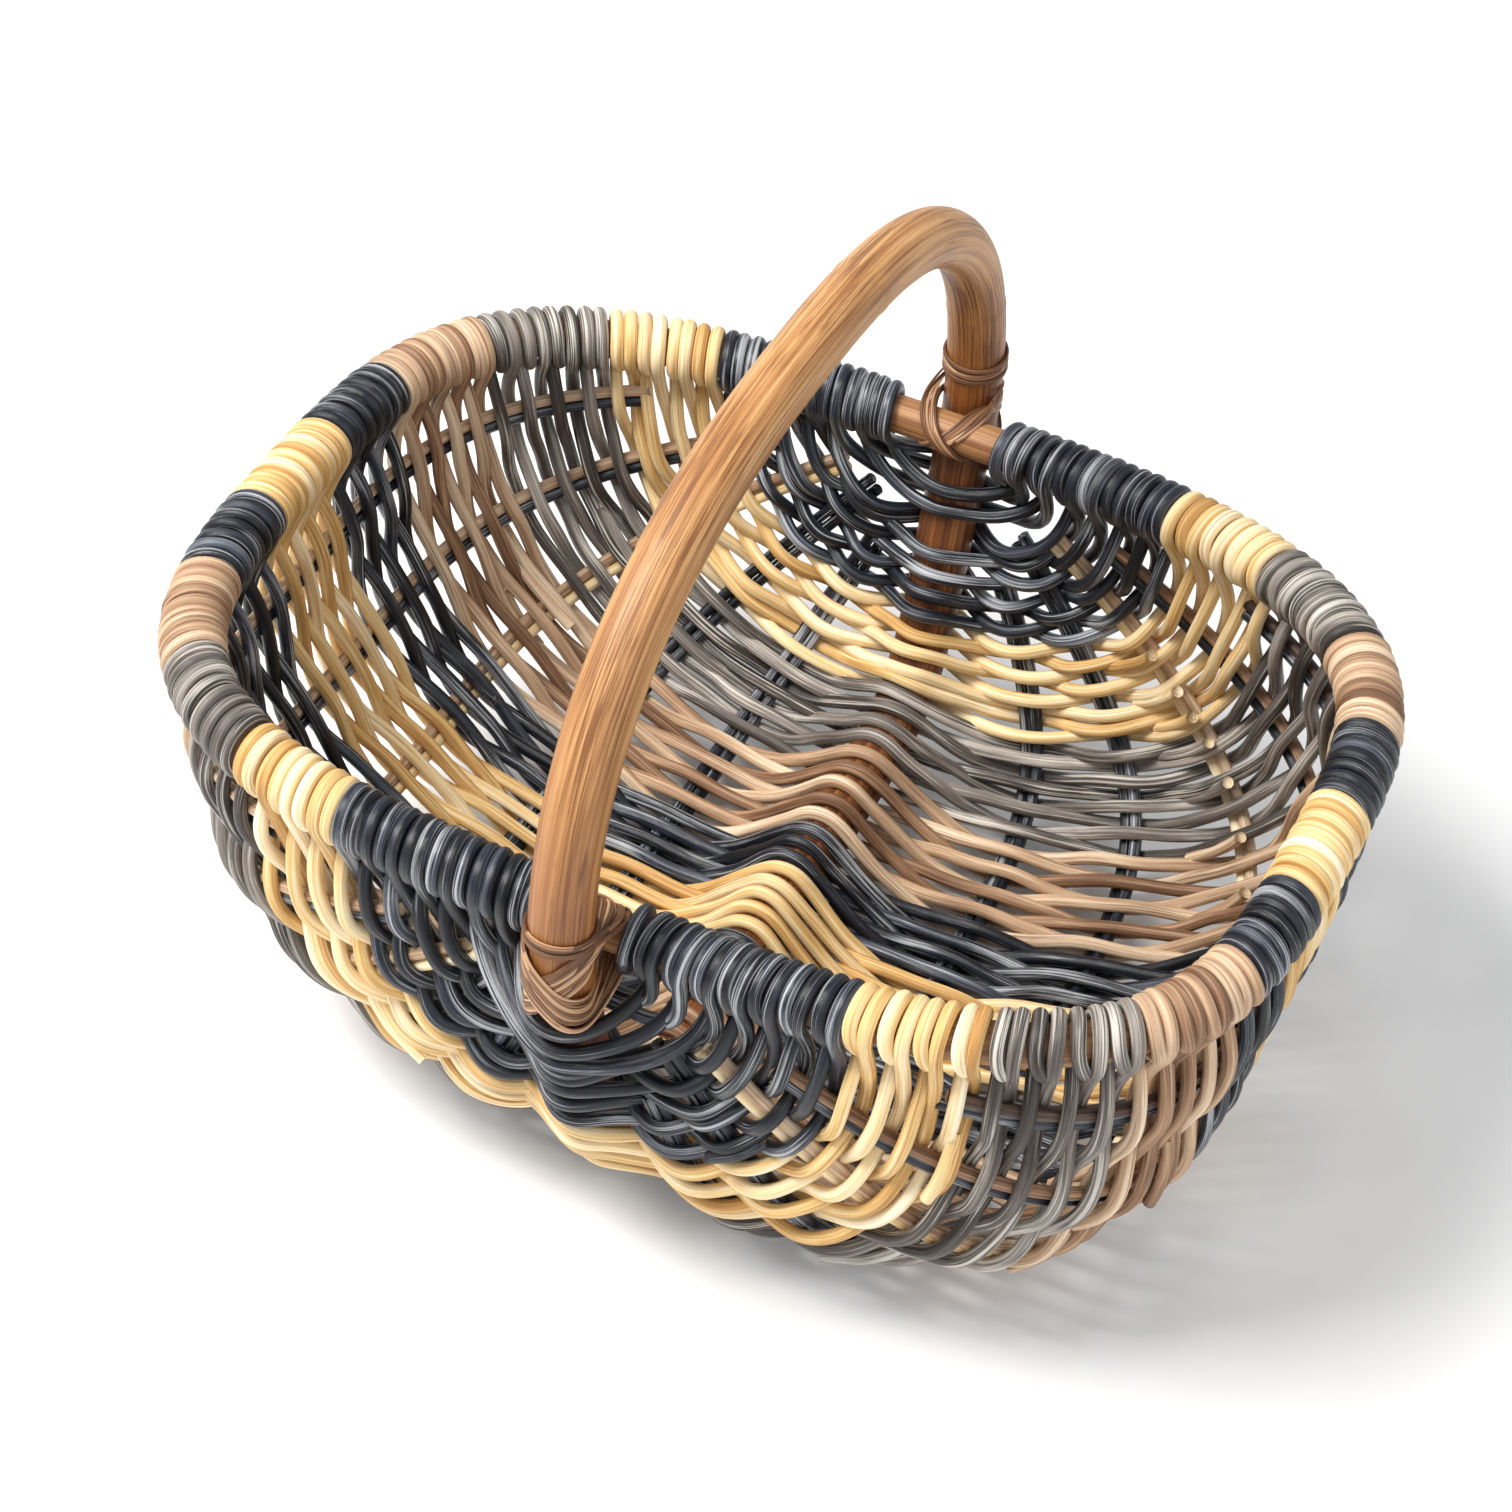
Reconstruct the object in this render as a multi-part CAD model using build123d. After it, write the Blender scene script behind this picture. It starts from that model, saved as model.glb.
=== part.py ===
from build123d import *
import math
import os

# Rib-built oval market basket with a round cane hoop for a handle.
# Frame: +X along the long side, +Y along the handle hoop's width, +Z up,
# origin on the table under the middle of the basket. Millimetres.

# ---- driving dimensions -------------------------------------------------
RIM_A = 238.0          # half length of the rim hoop's centre line
RIM_B = 170.0          # half width of the rim hoop's centre line
RIM_N = 3.25           # squareness of the oval
RIM_Z = 192.2          # height of the rim hoop's centre line
RIM_CORE_R = 8.75      # bare rim cane
RIM_WRAP_R = 14.25     # rim cane with the weavers wound round it
BODY_D = 186.4         # depth of the wall's middle surface under the rim
# fullness of each half: section exponent along the length and across the width,
# then how far the wall swells past the rim in length and in width (the left half is slacker)
FULL_LEFT = (2.43, 3.57, -0.010, 0.019)
FULL_RIGHT = (3.21, 5.60, -0.001, 0.029)
WALL_HALF = 8.6        # half thickness of the weave: half a rib and one weaver
HANDLE_R = 13.0        # handle cane
HANDLE_Y = 193.6       # half width of the handle hoop where it passes the rim
HANDLE_H = 161.5       # rise of the handle's centre line above the rim
HANDLE_N = 2.48
ROD_R = 2.8            # rib rod and weaver radius
ROD_GAP = 2.95         # half distance between the two rods of a rib
SLEEVE_R = 18.9        # weave outside radius where it passes over the hoop
RIB_DEG = [12.0, 25.0, 38.5, 53.5, 68.0]       # angle of each rib below the rim
RIB_START = [152.0, 92.0, 66.0, 62.0, 88.0]    # distance of its ends from the lashed joint
LASH_R = 1.5

# lower half of the handle hoop: (y, depth below the rim)
HOOP_LOW = [(185.6, 33.0), (178.0, 65.0), (171.0, 94.0), (162.0, 121.0), (147.5, 142.5),
            (124.0, 154.0), (90.0, 157.8), (45.0, 158.6), (0.0, 158.8)]

# bands of weave from one lashed joint to the middle of the basket:
# name, number of passes, end distance from the joint along the rim, and along the hoop
BANDS = [("black_ear", 14, 111.6, 108.0), ("buff", 8, 164.6, 152.0), ("grey", 8, 222.3, 196.0),
         ("brown", 9, 275.3, 248.0), ("black_mid", 7, 321.8, 281.0)]
MID_PASSES = 9
RIM_S0, HOOP_S0 = 25.5, 30.0   # where the first pass starts, from the joint


# ---- the shape of the wall ---------------------------------------------
def direction(theta, phi):
    return (math.cos(phi) * math.cos(theta), math.sin(phi), -math.cos(phi) * math.sin(theta))


def wall(theta, phi):
    """Middle surface at rib angle theta (0 rim, 90 hoop, 180 rim) and angle phi from the middle."""
    cx, cy, cz = direction(theta, phi)
    rx, ry = abs(cx) / RIM_A, abs(cy) / RIM_B
    rho = (rx ** RIM_N + ry ** RIM_N) ** (1 / RIM_N)
    lam = math.atan2(ry, rx)
    w = 0.5 * (1 + math.tanh(2.5 * cx))
    m_long, m_short, swell_x, swell_y = [a + (b - a) * w for a, b in zip(FULL_LEFT, FULL_RIGHT)]
    m = m_long + (m_short - m_long) * math.sin(lam) ** 2
    r = 1.0 / (rho ** m + (abs(cz) / BODY_D) ** m) ** (1 / m)
    g = math.sin(math.pi * min(max(-r * cz / BODY_D, 0.0), 1.0) ** 0.8)
    return (r * cx * (1 + swell_x * g), r * cy * (1 + swell_y * g), RIM_Z + r * cz)


def dist(p, q):
    return math.sqrt(sum((a - b) ** 2 for a, b in zip(p, q)))


class Track:
    """A polyline that gives the point at a distance from its start."""

    def __init__(self, pts):
        self.p = pts
        self.s = [0.0]
        for a, b in zip(pts, pts[1:]):
            self.s.append(self.s[-1] + dist(a, b))
        self.length = self.s[-1]

    def at(self, s):
        s = min(max(s, 0.0), self.length)
        lo, hi = 0, len(self.s) - 1
        while hi - lo > 1:
            mid = (lo + hi) // 2
            if self.s[mid] <= s:
                lo = mid
            else:
                hi = mid
        w = (s - self.s[lo]) / max(self.s[hi] - self.s[lo], 1e-9)
        a, b = self.p[lo], self.p[hi]
        return tuple(x + (y - x) * w for x, y in zip(a, b))


_tracks = {}


def rib_track(theta_deg):
    """From the joint at -Y to the joint at +Y along the wall at that angle."""
    key = round(theta_deg, 4)
    if key not in _tracks:
        n = 360
        _tracks[key] = Track([wall(math.radians(theta_deg), math.radians(-90 + 180 * i / n)) for i in range(n + 1)])
    return _tracks[key]


def catmull(pts, n):
    out = []
    for i in range(len(pts) - 1):
        p0, p1, p2, p3 = pts[max(i - 1, 0)], pts[i], pts[i + 1], pts[min(i + 2, len(pts) - 1)]
        for k in range(n):
            t = k / n
            out.append(tuple(0.5 * (2 * b + (c - a) * t + (2 * a - 5 * b + 4 * c - d) * t * t + (3 * b - a - 3 * c + d) * t ** 3)
                             for a, b, c, d in zip(p0, p1, p2, p3)))
    out.append(pts[-1])
    return out


hoop_low = [(0.0, -HANDLE_Y, RIM_Z)] + [(0.0, -y, RIM_Z - d) for y, d in HOOP_LOW]
hoop_low += [(0.0, -p[1], p[2]) for p in reversed(hoop_low[:-1])]
hoop_track = Track(catmull(hoop_low, 12))

PASSES = sum(b[1] for b in BANDS) * 2 + MID_PASSES


def knots(col, first, total):
    """Distance along the rim (or hoop) of each band edge, over the whole length."""
    k, s = [0.0], [first]
    for b in BANDS:
        k.append(k[-1] + b[1])
        s.append(b[col])
    full = [(x, y) for x, y in zip(k, s)]
    full += [(PASSES - x, total - y) for x, y in reversed(full)]
    return full


def along(table, t):
    """Smooth monotone reading of a table of (pass, distance)."""
    for (x0, y0), (x1, y1) in zip(table, table[1:]):
        if t <= x1 or x1 == table[-1][0]:
            i = [x for x, _ in table].index(x0)

            def slope(j):
                lo, hi = max(j - 1, 0), min(j + 1, len(table) - 1)
                return (table[hi][1] - table[lo][1]) / (table[hi][0] - table[lo][0])

            h = x1 - x0
            w = (t - x0) / h
            m0, m1 = slope(i) * h, slope(i + 1) * h
            return ((2 * w ** 3 - 3 * w * w + 1) * y0 + (w ** 3 - 2 * w * w + w) * m0
                    + (-2 * w ** 3 + 3 * w * w) * y1 + (w ** 3 - w * w) * m1)


rim_table = knots(2, RIM_S0, rib_track(0.0).length)
hoop_table = knots(3, HOOP_S0, hoop_track.length)


def cloth(theta_deg, t, hump=True):
    """Point of the weave's middle surface at angle theta (0..180) on pass number t."""
    th = theta_deg if theta_deg <= 90 else 180 - theta_deg
    fr = along(rim_table, t) / rib_track(0.0).length
    fh = along(hoop_table, t) / hoop_track.length
    w = th / 90.0
    w = w * w * (3 - 2 * w)
    f = fr + (fh - fr) * w
    p = rib_track(theta_deg).at(f * rib_track(theta_deg).length)
    h = hoop_track.at(fh * hoop_track.length)
    # the hump over the hoop reaches 50 to 70 mm to each side
    reach = min(76.0, max(22.0, math.degrees(math.atan2(52.0, RIM_Z - h[2]))))
    if hump and th > 90 - reach:
        k = 0.5 * (1 + math.cos(math.pi * (90 - th) / reach))
        q = rib_track(90.0).at(fh * rib_track(90.0).length)
        p = tuple(a + k * (b - c) for a, b, c in zip(p, h, q))
    return p


def normal(theta_deg, t):
    """Outward direction of the plain wall, without the hump over the hoop."""
    e = 0.6
    th = min(max(theta_deg, e), 180 - e)
    a, b = cloth(th - e, t, False), cloth(th + e, t, False)
    c, d = cloth(th, t - e, False), cloth(th, t + e, False)
    u = [y - x for x, y in zip(a, b)]
    v = [y - x for x, y in zip(c, d)]
    nv = (u[1] * v[2] - u[2] * v[1], u[2] * v[0] - u[0] * v[2], u[0] * v[1] - u[1] * v[0])
    ln = math.sqrt(sum(x * x for x in nv))
    p = cloth(th, t, False)
    if nv[0] * p[0] + nv[1] * p[1] + nv[2] * (p[2] - RIM_Z) < 0:
        ln = -ln
    return tuple(x / ln for x in nv)


def hoop_normal(t):
    """Direction away from the basket's middle, square to the hoop, where pass t crosses it."""
    s = along(hoop_table, t)
    a, b = hoop_track.at(s - 3.0), hoop_track.at(s + 3.0)
    dy, dz = b[1] - a[1], b[2] - a[2]
    ln = math.hypot(dy, dz)
    return (0.0, dz / ln, -dy / ln)


# ---- helpers for solids -------------------------------------------------
def route(pts, closed=False):
    """Straight runs joined by tangent arcs."""
    n = len(pts)
    radii = []
    for i in range(n if closed else n):
        if not closed and i in (0, n - 1):
            continue
        a, b, c = Vector(*pts[i - 1]), Vector(*pts[i]), Vector(*pts[(i + 1) % n])
        turn = math.radians((b - a).get_angle(c - b))
        radii.append(0.46 * min((b - a).length, (c - b).length) / math.tan(turn / 2))
    return FilletPolyline(*[Vector(*p) for p in pts], radius=radii, close=closed)


def tube(path, r, hole=None):
    w = path if isinstance(path, Wire) else Wire(path.edges())
    section = Circle(r) if hole is None else Circle(r) - Circle(hole)
    return sweep(Plane(origin=w @ 0.0, z_dir=w % 0.0) * section, path=w)


def put(name, *solids):
    flat = []
    for s in solids:
        flat += list(s.solids())
    shape = flat[0] if len(flat) == 1 else Compound(flat)
    export_step(shape, f"parts/{name}.step")


def mirror_y(s):
    return mirror(s, about=Plane.XZ)


def mirror_x(s):
    return mirror(s, about=Plane.YZ)


os.makedirs("parts", exist_ok=True)

# ---- the two hoops ------------------------------------------------------
rim_line = Track([wall(0.0, math.radians(-90 + 180 * i / 360)) for i in range(361)])
quarter = [rim_line.at(rim_line.length * i / 18) for i in range(19)]
rim_pts = quarter + [(-p[0], p[1], p[2]) for p in reversed(quarter[1:-1])]
rim_hoop = tube(route(rim_pts, True), RIM_CORE_R)
put("rim_hoop", rim_hoop)

upper = []
for i in range(1, 160):
    a = math.pi * i / 160
    c, s = math.cos(a), math.sin(a)
    rr = 1.0 / ((abs(c) / HANDLE_Y) ** HANDLE_N + (abs(s) / HANDLE_H) ** HANDLE_N) ** (1 / HANDLE_N)
    upper.append((0.0, rr * c, RIM_Z + rr * s))
hoop_all = Track(catmull(hoop_low, 12) + upper + [hoop_low[0]])
handle_pts = [hoop_all.at(hoop_all.length * i / 60) for i in range(60)]
handle_hoop = tube(route(handle_pts, True), HANDLE_R)
put("handle_hoop", handle_hoop)

# ---- ribs: two rods side by side ----------------------------------------
for number, (deg, start) in enumerate(zip(RIB_DEG, RIB_START), 1):
    for half, angle in (("right", deg), ("left", 180 - deg)):
        tr = rib_track(angle)
        s0 = 0.0
        while dist(tr.at(s0)[0::2], (0.0, RIM_Z)) < start:
            s0 += 0.5
        flip = 1 if half == "right" else -1
        across = (flip * math.sin(math.radians(deg)), math.cos(math.radians(deg)))
        line = [tr.at(s0 + (tr.length - 2 * s0) * i / 24) for i in range(25)]
        for side, label in ((1, "upper"), (-1, "lower")):
            off = side * ROD_GAP
            rod = tube(route([(p[0] + off * across[0], p[1], p[2] + off * across[1]) for p in line]), ROD_R)
            put(f"rib_{number}_{label}_{half}", rod)

# ---- bands of weave: an outer and an inner layer, with the ribs between ---
GAP_T = 0.03
NV = 4
TRIM = RIM_WRAP_R + 0.3
LAYER_IN = ROD_R + 1.9
HOOP_IN = HANDLE_R + 1.7
floor_cut = Pos(0, 0, -50) * Box(900, 900, 100)


def spread(th0):
    """Angles from one rim to the other, closer together over the hoop."""
    half = []
    n = 22
    for i in range(n + 1):
        u = i / n
        half.append(th0 + (90 - th0) * (1 - (1 - u) ** 1.35))
    return half + [180 - x for x in reversed(half[:-1])]


def layer(t0, t1, sign):
    ts = [t0 + GAP_T + (t1 - t0 - 2 * GAP_T) * j / (NV - 1) for j in range(NV)]
    near_rows, far_rows = [], []
    for t in ts:
        top = cloth(0.0, t)
        th0 = 0.5
        while dist(cloth(th0, t), top) < TRIM:
            th0 += 0.25
        a_row, b_row = [], []
        nh = hoop_normal(t)
        for th in spread(th0):
            p, nv = cloth(th, t), normal(th, t)
            near = math.exp(-(p[0] / 20.0) ** 2)
            lo = LAYER_IN + (HOOP_IN - LAYER_IN) * near
            hi = WALL_HALF + (SLEEVE_R - WALL_HALF) * near
            nv = [(1 - near) * x + near * y for x, y in zip(nv, nh)]
            ln = math.sqrt(sum(x * x for x in nv))
            nv = [x / ln for x in nv]
            a_row.append(Vector(*[x + sign * lo * y for x, y in zip(p, nv)]))
            b_row.append(Vector(*[x + sign * hi * y for x, y in zip(p, nv)]))
        near_rows.append(a_row)
        far_rows.append(b_row)
    fa = Face.make_surface_from_array_of_points(near_rows, tol=0.05, min_deg=3, max_deg=3)
    fb = Face.make_surface_from_array_of_points(far_rows, tol=0.05, min_deg=3, max_deg=3)
    faces = [fa, fb]

    def edge_of(face, p, q):
        e = min(face.edges(), key=lambda e: min((e @ 0 - p).length + (e @ 1 - q).length, (e @ 0 - q).length + (e @ 1 - p).length))
        return e if (e @ 0 - p).length <= (e @ 1 - p).length else e.reversed()

    for (i, j), (k, l) in [((0, 0), (0, -1)), ((0, -1), (-1, -1)), ((-1, -1), (-1, 0)), ((-1, 0), (0, 0))]:
        faces.append(Face.make_surface_from_curves(edge_of(fa, near_rows[i][j], near_rows[k][l]),
                                                   edge_of(fb, far_rows[i][j], far_rows[k][l])))
    return Solid(Shell(faces))


edges_t = [0.0]
for b in BANDS:
    edges_t.append(edges_t[-1] + b[1])
jobs = [(BANDS[i][0], edges_t[i], edges_t[i + 1]) for i in range(len(BANDS))]
jobs.append(("buff_middle", edges_t[-1], edges_t[-1] + MID_PASSES))
rim_wire = Wire(route(quarter).edges())
for name, t0, t1 in jobs:
    outer, inner = layer(t0, t1, 1), layer(t0, t1, -1)
    if outer.bounding_box().min.Z < -0.05:
        outer = outer - floor_cut
    u0 = (along(rim_table, t0) + 0.1) / rim_line.length
    u1 = (along(rim_table, t1) - 0.1) / rim_line.length
    sleeve = tube(rim_wire.trim(u0, u1), RIM_WRAP_R, RIM_CORE_R + 0.1)
    if name == "buff_middle":
        put("weave_outer_buff_middle", outer)
        put("weave_inner_buff_middle", inner)
        put("rim_wrap_buff_middle", sleeve, mirror_x(sleeve))
    else:
        put(f"weave_outer_{name}_front", outer)
        put(f"weave_inner_{name}_front", inner)
        put(f"weave_outer_{name}_back", mirror_y(outer))
        put(f"weave_inner_{name}_back", mirror_y(inner))
        put(f"rim_wrap_{name}_front", sleeve, mirror_x(sleeve))
        put(f"rim_wrap_{name}_back", mirror_y(sleeve), mirror_y(mirror_x(sleeve)))
    print(name, [round(x, 1) for x in outer.bounding_box().min], round(outer.volume), round(inner.volume), flush=True)

# ---- lashing that ties the two hoops together at each joint --------------


def cross_loop(lean, grow, shift):
    """A closed loop round both hoops, in a plane leaning 45 degrees either way."""
    y_out, y_in = HANDLE_Y + HANDLE_R + 2.6 + grow, RIM_B - RIM_CORE_R - 2.2 - grow
    wide, slim = 25.0 + grow, 18.0 + grow
    corners = [(-wide, -y_out), (wide, -y_out), (slim, -y_in), (-slim, -y_in)]
    q = math.sqrt(0.5)
    pts = [Vector(d * q + shift * q * lean, y, RIM_Z + d * q * lean - shift * q) for d, y in corners]
    return tube(Wire(FilletPolyline(*pts, radius=9.0, close=True).edges()), LASH_R)


loops = [cross_loop(1, 0.0, s) for s in (-1.7, 1.7)] + [cross_loop(-1, 3.3, s) for s in (-1.7, 1.7)]
put("lashing_cross_front", *loops)
put("lashing_cross_back", *[mirror_y(x) for x in loops])
coils = []
for i in range(4):
    s = hoop_all.length - 27.5 - i * 3.3
    p, a, b = hoop_all.at(s), hoop_all.at(s - 4), hoop_all.at(s + 4)
    frame = Plane(origin=p, z_dir=Vector(*[y - x for x, y in zip(a, b)]))
    coils.append(frame * Torus(HANDLE_R + LASH_R + 0.8, LASH_R))
put("lashing_coils_front", *coils)
put("lashing_coils_back", *[mirror_y(x) for x in coils])
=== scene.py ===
import math
import random
import bpy
import numpy as np
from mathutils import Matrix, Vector


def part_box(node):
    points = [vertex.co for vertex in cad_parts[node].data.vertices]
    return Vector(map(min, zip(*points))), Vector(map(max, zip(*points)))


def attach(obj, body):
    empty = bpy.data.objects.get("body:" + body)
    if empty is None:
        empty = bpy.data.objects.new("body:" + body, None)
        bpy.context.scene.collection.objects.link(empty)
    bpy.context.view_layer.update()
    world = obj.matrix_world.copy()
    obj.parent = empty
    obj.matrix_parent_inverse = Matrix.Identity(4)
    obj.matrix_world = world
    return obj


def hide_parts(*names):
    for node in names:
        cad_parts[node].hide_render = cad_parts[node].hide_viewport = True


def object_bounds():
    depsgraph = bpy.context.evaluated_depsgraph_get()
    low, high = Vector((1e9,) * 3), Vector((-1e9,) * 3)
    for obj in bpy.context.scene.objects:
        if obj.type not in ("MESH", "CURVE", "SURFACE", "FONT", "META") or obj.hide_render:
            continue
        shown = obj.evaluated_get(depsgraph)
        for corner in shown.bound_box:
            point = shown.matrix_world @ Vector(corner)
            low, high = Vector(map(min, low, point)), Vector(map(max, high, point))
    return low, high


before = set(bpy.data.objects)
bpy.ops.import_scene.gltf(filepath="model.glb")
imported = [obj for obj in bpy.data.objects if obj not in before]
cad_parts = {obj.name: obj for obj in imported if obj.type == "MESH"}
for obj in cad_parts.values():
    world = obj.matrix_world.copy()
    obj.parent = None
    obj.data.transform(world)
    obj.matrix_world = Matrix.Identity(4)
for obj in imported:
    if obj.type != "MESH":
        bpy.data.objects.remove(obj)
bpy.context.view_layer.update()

rng = random.Random(7)
nrg = np.random.default_rng(7)
MM = 0.001

# ---- the hoops, read from the frame (millimetres from here on) -----------
def mmbox(n):
    lo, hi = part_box(n)
    return np.array(lo) * 1000, np.array(hi) * 1000

rlo, rhi = mmbox("rim_hoop")
CORE_R = (rhi[2] - rlo[2]) / 2
RIM_Z = (rhi[2] + rlo[2]) / 2
RIM_A = (rhi[0] - rlo[0]) / 2 - CORE_R
RIM_B = (rhi[1] - rlo[1]) / 2 - CORE_R
hlo, hhi = mmbox("handle_hoop")
HANDLE_R = (hhi[0] - hlo[0]) / 2
HOOP_DEPTH = RIM_Z - hlo[2] - HANDLE_R
HANDLE_H = hhi[2] - HANDLE_R - RIM_Z
RIM_N, BODY_D, HANDLE_N = 3.25, 186.4, 2.48
FULL_LEFT = (2.43, 3.57, -0.010, 0.019)
FULL_RIGHT = (3.21, 5.60, -0.001, 0.029)
W_R = 2.8
ROD_R, ROD_GAP = 2.8, 2.9
HOOP_LOW = [(185.6, 33.0), (178.0, 65.0), (171.0, 94.0), (162.0, 121.0), (147.5, 142.5),
            (124.0, 154.0), (90.0, 157.8), (45.0, 158.6), (0.0, 158.8)]
HANDLE_Y = 193.6
BANDS = [("black_ear", 14, 111.6, 108.0), ("buff", 8, 164.6, 152.0), ("grey", 8, 222.3, 196.0),
         ("brown", 9, 275.3, 248.0), ("black_mid", 7, 321.8, 281.0)]
MID = 9
NPASS = sum(b[1] for b in BANDS) * 2 + MID
RIM_S0, HOOP_S0 = 25.5, 30.0
RIB_DEG = [12.0, 25.0, 38.5, 53.5, 68.0]
RIB_START = [152.0, 92.0, 66.0, 62.0, 88.0]


def vwall(theta, phi):
    """Mid surface of the wall: theta 0 rim .. pi/2 hoop .. pi rim, phi along."""
    cx, cy, cz = np.cos(phi) * np.cos(theta), np.sin(phi), -np.cos(phi) * np.sin(theta)
    rx, ry = np.abs(cx) / RIM_A, np.abs(cy) / RIM_B
    rho = np.maximum((rx ** RIM_N + ry ** RIM_N) ** (1 / RIM_N), 1e-9)
    lam = np.arctan2(ry, rx)
    w = 0.5 * (1 + np.tanh(2.5 * cx))
    m_long, m_short, swell_x, swell_y = [a + (b - a) * w for a, b in zip(FULL_LEFT, FULL_RIGHT)]
    m = m_long + (m_short - m_long) * np.sin(lam) ** 2
    r = 1.0 / (rho ** m + (np.abs(cz) / BODY_D) ** m) ** (1 / m)
    g = np.sin(np.pi * np.clip(-r * cz / BODY_D, 0, 1) ** 0.8)
    return np.stack([r * cx * (1 + swell_x * g), r * cy * (1 + swell_y * g), RIM_Z + r * cz], -1)


class Track:
    def __init__(self, p):
        self.p = np.asarray(p, float)
        self.s = np.concatenate([[0], np.cumsum(np.linalg.norm(np.diff(self.p, axis=0), axis=1))])
        self.length = self.s[-1]

    def at(self, s):
        s = np.clip(s, 0, self.length)
        return np.stack([np.interp(s, self.s, self.p[:, i]) for i in range(3)], -1)


def catmull(P, n=12):
    P = np.asarray(P, float)
    Q = np.vstack([2 * P[0] - P[1], P, 2 * P[-1] - P[-2]])
    out = []
    t = np.arange(n)[:, None] / n
    for i in range(1, len(Q) - 2):
        p0, p1, p2, p3 = Q[i - 1], Q[i], Q[i + 1], Q[i + 2]
        out.append(0.5 * (2 * p1 + (p2 - p0) * t + (2 * p0 - 5 * p1 + 4 * p2 - p3) * t ** 2 + (3 * p1 - p0 - 3 * p2 + p3) * t ** 3))
    out.append(P[-1:])
    return np.vstack(out)


# rib tracks on a fine grid of angles, and a lookup between them
GRID = np.arange(0, 180.01, 1.0)
PHI = np.radians(np.linspace(-90, 90, 721))
TRACKS = [Track(vwall(np.radians(g), PHI)) for g in GRID]
LEN = np.array([t.length for t in TRACKS])


def on_wall(theta_deg, frac):
    """Points of the plain wall at angle theta (0..180) and share of the way from joint to joint."""
    th = np.atleast_1d(np.asarray(theta_deg, float))
    fr = np.broadcast_to(np.asarray(frac, float), th.shape)
    i = np.clip(np.floor(th).astype(int), 0, 179)
    w = (th - i)[:, None]
    a = np.array([TRACKS[k].at(f * TRACKS[k].length) for k, f in zip(i, fr)])
    b = np.array([TRACKS[k + 1].at(f * TRACKS[k + 1].length) for k, f in zip(i, fr)])
    p = a * (1 - w) + b * w
    return p


low = [(0.0, -HANDLE_Y, RIM_Z)] + [(0.0, -y, RIM_Z - d * HOOP_DEPTH / 158.8) for y, d in HOOP_LOW]
low += [(0.0, -p[1], p[2]) for p in reversed(low[:-1])]
HOOP = Track(catmull(low, 14))


def table(col, first, total):
    k, s = [0.0], [first]
    for b in BANDS:
        k.append(k[-1] + b[1])
        s.append(b[col])
    k2 = [NPASS - x for x in reversed(k)]
    s2 = [total - x for x in reversed(s)]
    return np.array(k + k2), np.array(s + s2)


def smooth_read(tab):
    x, y = tab
    h = np.diff(x)
    d = np.diff(y) / h
    m = np.empty(len(x))
    m[0], m[-1] = d[0], d[-1]
    m[1:-1] = 2 * d[:-1] * d[1:] / (d[:-1] + d[1:])

    def f(t):
        t = np.asarray(t, float)
        i = np.clip(np.searchsorted(x, t, side="right") - 1, 0, len(h) - 1)
        w = (t - x[i]) / h[i]
        return ((2 * w ** 3 - 3 * w * w + 1) * y[i] + (w ** 3 - 2 * w * w + w) * h[i] * m[i]
                + (-2 * w ** 3 + 3 * w * w) * y[i + 1] + (w ** 3 - w * w) * h[i] * m[i + 1])
    return f


rim_s = smooth_read(table(2, RIM_S0, LEN[0]))
hoop_s = smooth_read(table(3, HOOP_S0, HOOP.length))


def frac_at(theta_deg, t):
    th = np.where(np.asarray(theta_deg) <= 90, theta_deg, 180 - np.asarray(theta_deg)) / 90.0
    w = th * th * (3 - 2 * th)
    return (rim_s(t) / LEN[0]) * (1 - w) + (hoop_s(t) / HOOP.length) * w


def base(theta_deg, t):
    th = np.atleast_1d(np.asarray(theta_deg, float))
    return on_wall(th, frac_at(th, t))


def unit(v):
    return v / np.maximum(np.linalg.norm(v, axis=-1, keepdims=True), 1e-12)


CENTRE = np.array([0, 0, RIM_Z])


def normals(theta_deg, t):
    th = np.clip(np.atleast_1d(np.asarray(theta_deg, float)), 1.2, 178.8)
    u = base(th + 1.0, t) - base(th - 1.0, t)
    v = base(th, t + 0.6) - base(th, t - 0.6)
    n = unit(np.cross(u, v))
    p = base(th, t) - CENTRE
    return n * np.sign((n * p).sum(-1, keepdims=True))


def rim_frame(s):
    """Point on the rim hoop's right half at arc s, its outward normal and its direction."""
    p = TRACKS[0].at(s)
    d = unit(TRACKS[0].at(s + 1.0) - TRACKS[0].at(s - 1.0))
    n = np.stack([d[..., 1], -d[..., 0], 0 * d[..., 0]], -1)
    return p, n, d


def hoop_frame(s):
    p = HOOP.at(s)
    d = unit(HOOP.at(s + 1.0) - HOOP.at(s - 1.0))
    n = np.stack([0 * d[..., 0], -d[..., 2] * -1, -d[..., 1]], -1)
    n = np.stack([0 * d[..., 0], d[..., 2], -d[..., 1]], -1)
    return p, n, d


# where each rib begins, as a share of its own track
RIB_F0 = []
for deg, start in zip(RIB_DEG, RIB_START):
    tr = TRACKS[int(round(deg))]
    ss = np.arange(0, tr.length / 2, 0.5)
    pp = tr.at(ss)
    r = np.hypot(pp[:, 0], pp[:, 2] - RIM_Z)
    RIB_F0.append(ss[np.argmax(r >= start)] / tr.length)


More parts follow.
